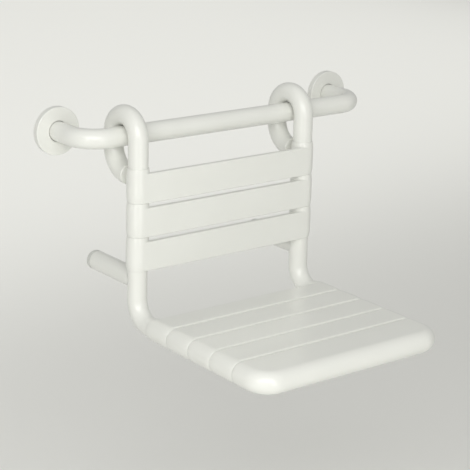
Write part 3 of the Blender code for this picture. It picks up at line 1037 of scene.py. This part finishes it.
@dataclass
class Slats(SubAssembly):
    """Back and seat slats: each a rounded plate with a sleeve round each side tube."""

    pitch: float = 0.0569
    seam: float = 0.0008
    sleeve_play: float = 0.0002
    sleeve_radius: float = 0.0190
    sleeve_end_radius: float = 0.0174
    back_end_round: float = 0.0004
    seat_end_round: float = 0.0011
    plate_depth: float = 0.0100
    back_edge_round: float = 0.0020
    seat_edge_round: float = 0.0032
    face_inset: float = 0.00004
    back_slot: float = 0.0076
    seat_groove: float = 0.0034
    sides: int = 96
    stations: int = 12
    crown_power: int = 5
    drill_sides: int = 64
    edge_steps: int = 6

    def build(self) -> None:
        """Make the three back slats and the four seat slats."""
        tree = self.slat_tree()
        for node in ("back_slat_top", "back_slat_middle", "back_slat_bottom"):
            place = Matrix.Translation((self.places.centre_x, self.places.upright_y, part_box(node)[0].z))
            self.build_slat(tree, node, place, (0.0, self.back_slot), self.back_edge_round,
                            self.back_end_round)
        half_groove = self.seat_groove / 2
        for node in ("seat_slat_rear", "seat_slat_second", "seat_slat_third", "seat_slat_fourth"):
            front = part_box(node)[0].y - self.seam / 2
            place = Matrix.Translation((self.places.centre_x, front, self.places.side_z)) @ TO_WALL
            rear_set_back = self.back_slot if node == "seat_slat_rear" else half_groove
            self.build_slat(tree, node, place, (half_groove, rear_set_back), self.seat_edge_round,
                            self.seat_end_round)

    def sleeve(self, round_: float) -> Mesh:
        """A sleeve along Z, a little fuller in its middle than at its ends.

        Args:
            round_: The radius of its rounded ends.

        Returns:
            The sleeve, solid.
        """
        half = (self.pitch - self.sleeve_play) / 2
        fall = self.sleeve_radius - self.sleeve_end_radius
        reach = 1.0 - round_ / half
        count = self.stations
        stations = [reach * math.sin(math.pi / 2 * step / count) for step in range(count, -count - 1, -1)]
        body = [(self.sleeve_radius - fall * abs(t) ** self.crown_power, half * t) for t in stations]
        top = corner_round(body[0][0] - round_, half - round_, round_, 90, 10, 4)
        bottom = corner_round(body[0][0] - round_, round_ - half, round_, -10, -90, 4)
        return turned([(0.0, half), *top, *body, *bottom, (0.0, -half)], self.sides)

    def slat_tree(self) -> GeometryTree:
        """Make a tree that sets two sleeves at a spacing, joins a plate to them and bores them.

        Returns:
            The tree.
        """
        tree = GeometryTree("slat")
        spacing = tree.input("Spacing")
        pitch = tree.input("Pitch")
        low = tree.input("Low Set-back")
        high = tree.input("High Set-back")
        depth = tree.input("Plate Depth")
        face = tree.input("Plate Face")
        round_ = tree.input("Edge Round")
        bore = tree.input("Bore Radius")
        half = tree.math("MULTIPLY", spacing, 0.5)
        left = tree.math("MULTIPLY", half, -1.0)
        start = tree.vector(x=left, z=tree.math("MULTIPLY", pitch, 0.5))
        ends = tree.add("GeometryNodeMeshLine", {
            "Count": 2, "Start Location": start, "Offset": tree.vector(x=spacing)}, mode="OFFSET")
        sleeves = tree.add("GeometryNodeInstanceOnPoints", {
            "Points": ends.outputs[0], "Instance": tree.geometry})
        sleeves = tree.add("GeometryNodeRealizeInstances", {"Geometry": sleeves.outputs[0]})
        height = tree.math("SUBTRACT", tree.math("SUBTRACT", pitch, low), high)
        outline = tree.add("GeometryNodeCurvePrimitiveQuadrilateral", {"Width": height, "Height": depth})
        rounded = tree.add("GeometryNodeFilletCurve", {
            "Curve": outline.outputs[0], "Count": self.edge_steps, "Radius": round_}, mode="POLY")
        rail = tree.add("GeometryNodeCurvePrimitiveLine", {
            "Start": (0.0, 0.0, 0.0), "End": tree.vector(z=spacing)})
        plate = tree.add("GeometryNodeCurveToMesh", {
            "Curve": rail.outputs[0], "Profile Curve": rounded.outputs[0], "Fill Caps": True})
        middle_z = tree.math("ADD", low, tree.math("MULTIPLY", height, 0.5))
        middle_y = tree.math("ADD", face, tree.math("MULTIPLY", depth, 0.5))
        plate = tree.add("GeometryNodeTransform", {
            "Geometry": plate.outputs[0], "Translation": tree.vector(left, middle_y, middle_z),
            "Rotation": (0.0, math.radians(90), 0.0)})
        whole = tree.add("GeometryNodeMeshBoolean", {1: sleeves.outputs[0]}, operation=UNION, solver="EXACT")
        tree.tree.links.new(plate.outputs[0], whole.inputs[1])
        drill = tree.add("GeometryNodeMeshCylinder", {
            "Vertices": self.drill_sides, "Radius": bore, "Depth": tree.math("MULTIPLY", pitch, 2.0)})
        drills = tree.add("GeometryNodeInstanceOnPoints", {
            "Points": ends.outputs[0], "Instance": drill.outputs["Mesh"]})
        drills = tree.add("GeometryNodeRealizeInstances", {"Geometry": drills.outputs[0]})
        bored = tree.add("GeometryNodeMeshBoolean", {0: whole.outputs[0], 1: drills.outputs[0]},
                         operation=DIFFERENCE, solver="EXACT")
        tree.close(bored.outputs[0])
        return tree

    def build_slat(self, tree: GeometryTree, node: str, place: Matrix, set_backs: Size,
                   edge_round: float, end_round: float) -> None:
        """Make one slat.

        Args:
            tree: The slat tree.
            node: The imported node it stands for.
            place: Where it goes.
            set_backs: How far the plate's two edges are set back from the ends of the pitch.
            edge_round: The radius of the plate's edges.
            end_round: The radius of the sleeves' ends.
        """
        left, right = self.sides_x()
        mesh = tree.run(self.sleeve(end_round), {
            "Material": self.finishes.polyamide, "Spacing": right - left, "Pitch": self.pitch,
            "Low Set-back": set_backs[0], "High Set-back": set_backs[1], "Plate Depth": self.plate_depth,
            "Plate Face": -self.sleeve_radius + self.face_inset, "Edge Round": edge_round,
            "Bore Radius": self.tube.radius + self.tube.gap,
        })
        mesh.transform(place)
        self.hand_over(f"{node}_moulding", mesh, Slot.POLYAMIDE, node)


@dataclass
class SeatFront(SubAssembly):
    """The seat's front piece: a bullnose round the core with a plate behind it."""

    nose_radius: float = 0.0190
    corner_bend: float = 0.0255
    seam: float = 0.0008
    groove: float = 0.0034
    plate_depth: float = 0.0100
    plate_round: float = 0.0032
    end_round: float = 0.0006
    end_fall: float = 0.0014
    end_taper: float = 0.0100
    face_inset: float = 0.00004
    socket_depth_play: float = 0.0003
    channel_overrun: float = 0.004
    socket_overrun: float = 0.01
    ring_play: float = 0.00004
    ring_clearance: float = 0.002
    ring_sides: int = 90
    socket_sides: int = 48
    nose_sides: int = 96
    taper_power: int = 3
    taper_steps: int = 8
    corner_steps: int = 24
    edge_steps: int = 6

    def build(self) -> None:
        """Sweep the nose, join the plate and bore it for the core and the side tubes."""
        p = self.places
        left, right = self.sides_x()
        back_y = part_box("seat_front")[1].y
        path = [(left, back_y, p.side_z), (left, p.front_y, p.side_z), (right, p.front_y, p.side_z),
                (right, back_y, p.side_z)]
        bends = [self.corner_bend, self.corner_bend]
        material = self.finishes.polyamide
        nose = self.tubes.sweep(path, bends, self.nose_radius, 0.0, material, self.nose_sides)
        outside = back_y + self.channel_overrun
        channel_path = [(left, outside, p.side_z), *path[1:3], (right, outside, p.side_z)]
        channel = self.tubes.sweep(channel_path, bends, self.tube.bore, 0.0, material, HOLE_SIDES)
        inner, outer = p.side_tube_end_y - self.socket_depth_play, back_y + self.socket_overrun
        sockets = [rod(self.tube.radius + self.tube.gap, (x, inner, p.side_z), (x, outer, p.side_z),
                       self.socket_sides)
                   for x in (left, right)]
        nose = combined(nose, [], [self.end_ring(x, back_y) for x in (left, right)])
        mesh = combined(nose, [self.plate(left, right, back_y)], [channel, *sockets])
        self.hand_over("seat_front_moulding", mesh, Slot.POLYAMIDE, "seat_front")

    def end_ring(self, x: float, back_y: float) -> Mesh:
        """A ring that tapers and rounds one end of the nose, as the slats' sleeves are.

        Args:
            x: The side tube's place.
            back_y: Where the nose's sleeves end.

        Returns:
            The ring, to cut away.
        """
        round_, clear, steps = self.end_round, self.ring_clearance, self.taper_steps
        length, outer = self.end_taper - round_, self.nose_radius + clear
        end_radius = self.nose_radius - self.end_fall
        profile = [(self.nose_radius + self.ring_play - self.end_fall * (step / steps) ** self.taper_power,
                    length * step / steps - self.end_taper) for step in range(steps)]
        profile += corner_round(end_radius - round_, -round_, round_, 0, 90, 4)
        profile += [(end_radius - round_, clear), (outer, clear), (outer, -self.end_taper)]
        place = Matrix.Translation((x, back_y, self.places.side_z)) @ TO_WALL
        return turned(profile, self.ring_sides, place, closed=True)

    def plate(self, left: float, right: float, back_y: float) -> Mesh:
        """The plate that fills the nose's inside.

        Args:
            left: The left side tube's place.
            right: The right side tube's place.
            back_y: Where the nose's sleeves end.

        Returns:
            A slab whose front corners follow the nose and whose rear edges are rounded.
        """
        top = self.places.side_z + self.nose_radius - self.face_inset
        rear = back_y + self.seam / 2 - self.groove / 2
        bend, steps = self.corner_bend, self.corner_steps
        turns = [math.radians(90 * step / steps) for step in range(steps + 1)]
        front = self.places.front_y + bend
        outline = [(left, rear)]
        outline += [(left + bend - bend * math.cos(t), front - bend * math.sin(t)) for t in turns]
        outline += [(right - bend + bend * math.sin(t), front - bend * math.cos(t)) for t in turns]
        outline += [(right, rear)]
        body = bmesh.new()
        face = body.faces.new([body.verts.new((x, y, top)) for x, y in outline])
        lower = bmesh.ops.extrude_face_region(body, geom=[face], use_keep_orig=True)["geom"]
        moved = [item for item in lower if isinstance(item, bmesh.types.BMVert)]
        bmesh.ops.translate(body, verts=moved, vec=(0.0, 0.0, -self.plate_depth))
        bmesh.ops.recalc_face_normals(body, faces=body.faces)
        rear_edges = [edge for edge in body.edges
                      if all(abs(vert.co.y - rear) < EPSILON for vert in edge.verts)
                      and abs(edge.verts[0].co.z - edge.verts[1].co.z) < EPSILON]
        bmesh.ops.bevel(body, geom=rear_edges, offset=self.plate_round, segments=self.edge_steps,
                        profile=0.5, affect="EDGES")
        mesh = bpy.data.meshes.new("front_plate")
        body.to_mesh(mesh)
        body.free()
        return mesh


# ---------------------------------------------------------------- struts


@dataclass
class WallStruts(SubAssembly):
    """The two struts that hold the seat off the wall, their studs and rubber buffers."""

    buffer_thickness: float = 0.0100
    buffer_round: float = 0.0045
    peg_radius: float = 0.0050
    peg_length: float = 0.0120
    stud_radius: float = 0.0060
    stud_play: float = 0.0004
    stud_end_depth: float = 0.0300
    stud_chamfer: float = 0.0008
    rim_round: float = 0.0012
    sides: int = 64
    saddle_sides: int = 96
    saddle_reach: float = 0.04
    bore_overrun: float = 0.001
    peg_play: float = 0.0008
    peg_chamfer: float = 0.0008
    buffer_chamfer: float = 0.0004

    def build(self) -> None:
        """Make both struts."""
        for side in Side:
            x = self.places.uprights[side]
            self.build_strut(side, x)
            self.build_stud(side, x)
            self.build_buffer(side, x)

    def wall_place(self, x: float) -> Matrix:
        """The place of a shape turned about a strut's axis, its height from the wall to the room."""
        return Matrix.Translation((x, 0.0, self.places.strut_z)) @ TO_ROOM

    def build_strut(self, side: Side, x: float) -> None:
        """Make a strut, saddled to the side tube and bored for its stud and its buffer's peg.

        Args:
            side: The side of the seat.
            x: Where its side tube stands.
        """
        start = self.buffer_thickness + self.tube.gap
        end = -self.places.upright_y
        radius = self.tube.radius
        profile = [(0.0, end), (radius, end)]
        profile += corner_round(radius - self.rim_round, start + self.rim_round, self.rim_round, 0, -90, 5)
        profile += [(0.0, start)]
        blank = turned(profile, self.sides, self.wall_place(x))
        y, z = self.places.upright_y, self.places.strut_z
        reach, bore_start = self.saddle_reach, y - self.bore_overrun
        saddle = rod(radius + self.tube.gap, (x, y, z - reach), (x, y, z + reach), self.saddle_sides)
        stud_end = -self.buffer_thickness - self.stud_end_depth + self.tube.gap
        bore = rod(self.stud_radius + self.stud_play, (x, bore_start, z), (x, stud_end, z), HOLE_SIDES)
        peg_end = -self.buffer_thickness - self.peg_length - self.peg_play
        peg_hole = rod(self.peg_radius + self.tube.gap, (x, 0.0, z), (x, peg_end, z), HOLE_SIDES)
        mesh = combined(blank, [], [saddle, bore, peg_hole])
        self.hand_over(f"strut_tube_{side.value}", mesh, Slot.POLYAMIDE, f"strut_{side.value}")

    def build_stud(self, side: Side, x: float) -> None:
        """Make the steel stud between the side tube's core and the strut.

        Args:
            side: The side of the seat.
            x: Where its side tube stands.
        """
        low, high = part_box(f"strut_stud_{side.value}")
        chamfer, radius = self.stud_chamfer, self.stud_radius
        near, far = -high.y, -low.y
        profile = [(0.0, far), (radius - chamfer, far), (radius, far - chamfer), (radius, near + chamfer),
                   (radius - chamfer, near), (0.0, near)]
        mesh = turned(profile, HOLE_SIDES, self.wall_place(x))
        self.hand_over(f"strut_stud_bar_{side.value}", mesh, Slot.STEEL, f"strut_stud_{side.value}")

    def build_buffer(self, side: Side, x: float) -> None:
        """Make the rubber buffer: a rounded disc on a peg.

        Args:
            side: The side of the seat.
            x: Where its side tube stands.
        """
        radius, thick, round_ = self.tube.radius, self.buffer_thickness, self.buffer_round
        peg, reach = self.peg_radius, thick + self.peg_length
        profile = [(0.0, reach), (peg - self.peg_chamfer, reach), (peg, reach - self.peg_chamfer),
                   (peg, thick), (radius - self.buffer_chamfer, thick), (radius, thick - self.buffer_chamfer)]
        profile += corner_round(radius - round_, round_, round_, 0, -90, 10)
        profile += [(0.0, 0.0)]
        mesh = turned(profile, self.sides, self.wall_place(x))
        self.hand_over(f"strut_buffer_foot_{side.value}", mesh, Slot.RUBBER, f"strut_buffer_{side.value}")


# ---------------------------------------------------------------- studio


@dataclass
class Studio:
    """A pale floor, soft lights and the camera."""

    camera_place: Point = (-1.6098, -2.1675, 0.6014)
    camera_yaw: float = 38.093
    camera_pitch: float = 17.007
    camera_roll: float = 1.531
    lens: float = 122.26
    sensor: float = 36.0
    floor_z: float = -0.765
    floor_radius: float = 14.0
    floor_sides: int = 96
    floor_colour: Colour = (0.78, 0.78, 0.759)
    surroundings: float = 0.455
    surroundings_colour: Colour = (1.0, 1.0, 0.97)
    light_colour: Colour = (1.0, 1.0, 0.975)
    aim: Size = (-0.04, -0.25)
    fill_turn: float = 38.0
    fill_distance: float = 2.6
    fill_height: float = 1.2
    fill_tilt: float = 26.0
    fill_size: Size = (2.4, 1.6)
    fill_power: float = 40.5
    softbox_distance: float = 1.5
    softbox_turns: Size = (62.0, 14.0)
    softbox_size: Size = (0.16, 1.0)
    softbox_height: float = -0.10
    softbox_power: float = 2.2
    top_size: Size = (3.0, 3.0)
    top_place: Point = (-0.3, -0.6, 2.8)
    top_power: float = 9.0
    backdrop_place: Point = (2.0, 4.4, 0.1)
    backdrop_size: Size = (7.0, 6.4)
    backdrop_power: float = 80.0

    def build(self) -> None:
        """Set up the camera, the lights, the surroundings and the floor."""
        bpy.context.scene.view_settings.view_transform = "Standard"
        self.build_camera()
        self.build_surroundings()
        floor = self.build_floor()
        self.add_light("front_fill", self.fill_size, self.fill_power, self.place_round_seat(
            self.fill_turn, self.fill_distance, self.fill_height, self.fill_tilt))
        for index, turn in enumerate(self.softbox_turns):
            self.add_light(f"softbox_{index}", self.softbox_size, self.softbox_power, self.place_round_seat(
                turn, self.softbox_distance, self.softbox_height))
        self.add_light("top_light", self.top_size, self.top_power, Matrix.Translation(self.top_place))
        self.build_backdrop_light(floor)

    def build_camera(self) -> None:
        """The camera, level apart from a slight roll."""
        yaw, pitch, roll = (math.radians(a) for a in (self.camera_yaw, self.camera_pitch, self.camera_roll))
        camera = bpy.data.objects.new("camera", bpy.data.cameras.new("camera"))
        camera.data.lens = self.lens
        camera.data.sensor_width = self.sensor
        aim = Matrix.Rotation(-yaw, 4, "Z") @ Matrix.Rotation(math.radians(90) - pitch, 4, "X")
        camera.matrix_world = Matrix.Translation(self.camera_place) @ aim @ Matrix.Rotation(roll, 4, "Z")
        bpy.context.scene.collection.objects.link(camera)
        bpy.context.scene.camera = camera

    def build_surroundings(self) -> None:
        """Even pale light from all round."""
        world = bpy.data.worlds.new("surroundings")
        world.use_nodes = True
        background = world.node_tree.nodes["Background"]
        background.inputs["Color"].default_value = (*self.surroundings_colour, 1.0)
        background.inputs["Strength"].default_value = self.surroundings
        bpy.context.scene.world = world

    def build_floor(self) -> Object:
        """A pale round floor well below the seat.

        Returns:
            The floor.
        """
        body = bmesh.new()
        bmesh.ops.create_circle(body, cap_ends=True, segments=self.floor_sides, radius=self.floor_radius)
        bmesh.ops.translate(body, verts=body.verts, vec=(0.0, 0.0, self.floor_z))
        mesh = bpy.data.meshes.new("floor")
        body.to_mesh(mesh)
        body.free()
        shader = Shader("pale_floor")
        shader.set(shader.surface, {
            "Base Color": (*self.floor_colour, 1.0),
            "Roughness": 0.9,
            "Specular IOR Level": 0.0,
        })
        mesh.materials.append(shader.material)
        floor = bpy.data.objects.new("floor", mesh)
        bpy.context.scene.collection.objects.link(floor)
        return floor

    def add_light(self, name: str, size: Size, power: float,
                  place: Matrix) -> Object:
        """Add one rectangular soft light.

        Args:
            name: Its name.
            size: Its width and height.
            power: Its power in watts.
            place: Its place; it shines along -Z.

        Returns:
            The lamp.
        """
        light = bpy.data.lights.new(name, "AREA")
        light.shape = "RECTANGLE"
        light.size, light.size_y = size
        light.energy = power
        light.color = self.light_colour
        lamp = bpy.data.objects.new(name, light)
        lamp.matrix_world = place
        lamp.visible_camera = False
        bpy.context.scene.collection.objects.link(lamp)
        return lamp

    def place_round_seat(self, turn: float, distance: float, height: float, tilt: float = 0.0) -> Matrix:
        """Find the place of a light that stands round the seat and shines at it.

        Args:
            turn: How far it stands round to the left from straight in front, in degrees.
            distance: How far it stands from the point it is aimed over.
            height: Its height.
            tilt: How far it leans down, in degrees.

        Returns:
            The place.
        """
        turn = math.radians(turn)
        place = Vector((-math.sin(turn), -math.cos(turn), 0.0)) * distance + Vector((*self.aim, height))
        lean = Matrix.Rotation(math.radians(90 - tilt), 4, "X")
        return Matrix.Translation(place) @ Matrix.Rotation(-turn, 4, "Z") @ lean

    def build_backdrop_light(self, floor: Object) -> None:
        """Add the light that brightens the far floor and nothing else.

        Args:
            floor: The floor.
        """
        lamp = self.add_light("backdrop_light", self.backdrop_size, self.backdrop_power,
                              Matrix.Translation(self.backdrop_place))
        receivers = bpy.data.collections.new("backdrop")
        receivers.objects.link(floor)
        lamp.light_linking.receiver_collection = receivers


def main() -> None:
    """Build the studio and every sub-assembly in order."""
    logging.basicConfig(level=logging.INFO, format="%(name)s %(message)s")
    Studio().build()
    tube = Tube()
    places = Places.read(tube, SeatFrame.hook_bend, SeatFront.nose_radius)
    finishes = Finishes.build()
    tubes = BentTubes(tube)
    GrabRail(places, tube, tubes, finishes).build()
    SeatFrame(places, tube, tubes, finishes).build()
    Slats(places, tube, tubes, finishes).build()
    SeatFront(places, tube, tubes, finishes).build()
    WallStruts(places, tube, tubes, finishes).build()


if __name__ == "__main__":
    main()
